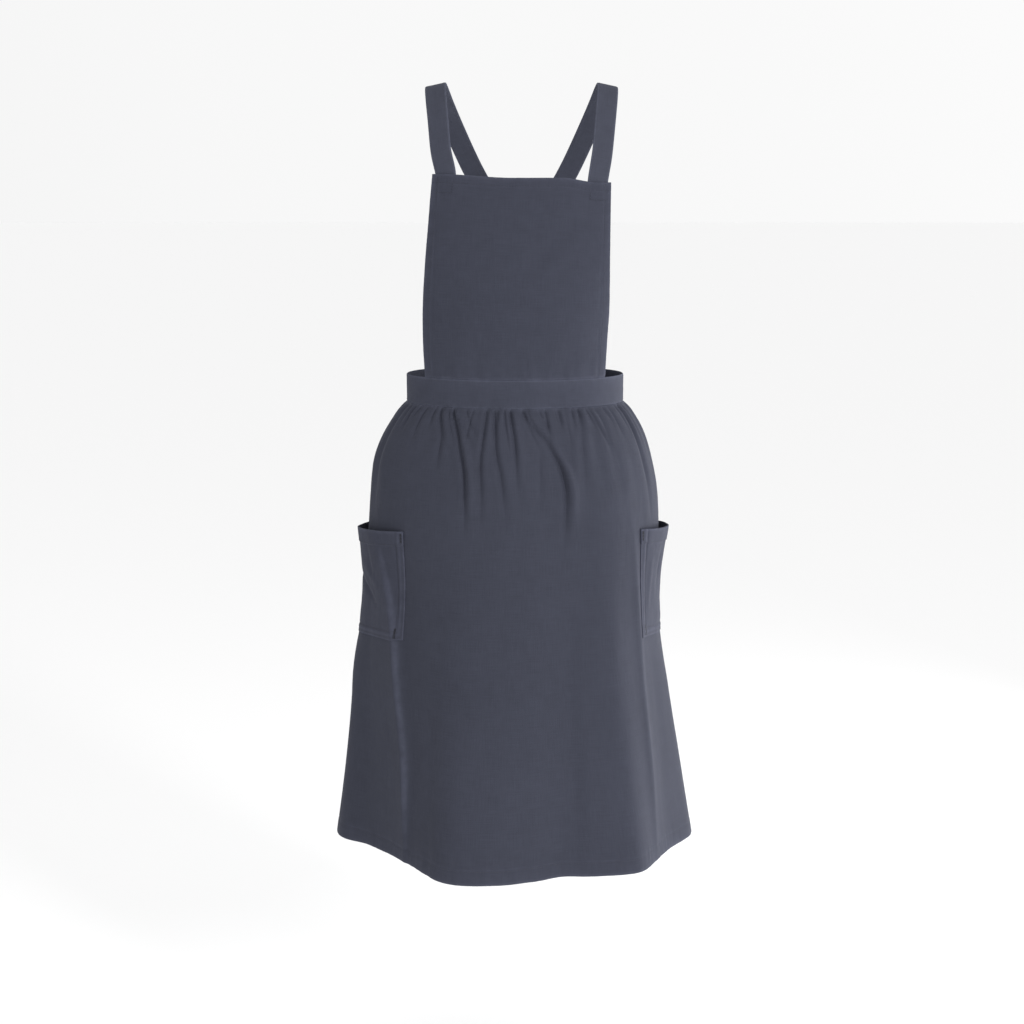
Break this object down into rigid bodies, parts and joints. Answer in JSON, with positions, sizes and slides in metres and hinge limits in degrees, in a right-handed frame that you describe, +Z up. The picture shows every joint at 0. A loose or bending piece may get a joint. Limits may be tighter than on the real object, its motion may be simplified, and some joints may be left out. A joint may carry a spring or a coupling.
{
  "type": "cross back apron",
  "caption": "Cloth apron as worn: bib, straps crossed on the back, waistband, gathered flared skirt open at the back, and side patch pockets.",
  "frame": {"origin": "midway between the two straps where they rest on the wearer's shoulders, level with their underside", "axes": "+Z up, the bib and the front of the skirt face -Y, +X towards the right as seen from the front"},
  "size_m": [0.5159, 0.3718, 1.0697],
  "materials": {
    "bib_cloth": "matte slate grey linen cotton",
    "band_cloth": "matte slate grey linen cotton",
    "skirt_cloth": "matte slate grey linen cotton",
    "pocket_cloth": "matte slate grey linen cotton",
    "strap_cloth": "matte slate grey linen cotton"
  },
  "bodies": {
    "root": {"bib": "bib_cloth", "waistband": "band_cloth", "skirt": "skirt_cloth", "pocket_left": "pocket_cloth", "pocket_right": "pocket_cloth", "strap_left": "strap_cloth", "strap_right": "strap_cloth"}
  },
  "joints": []
}
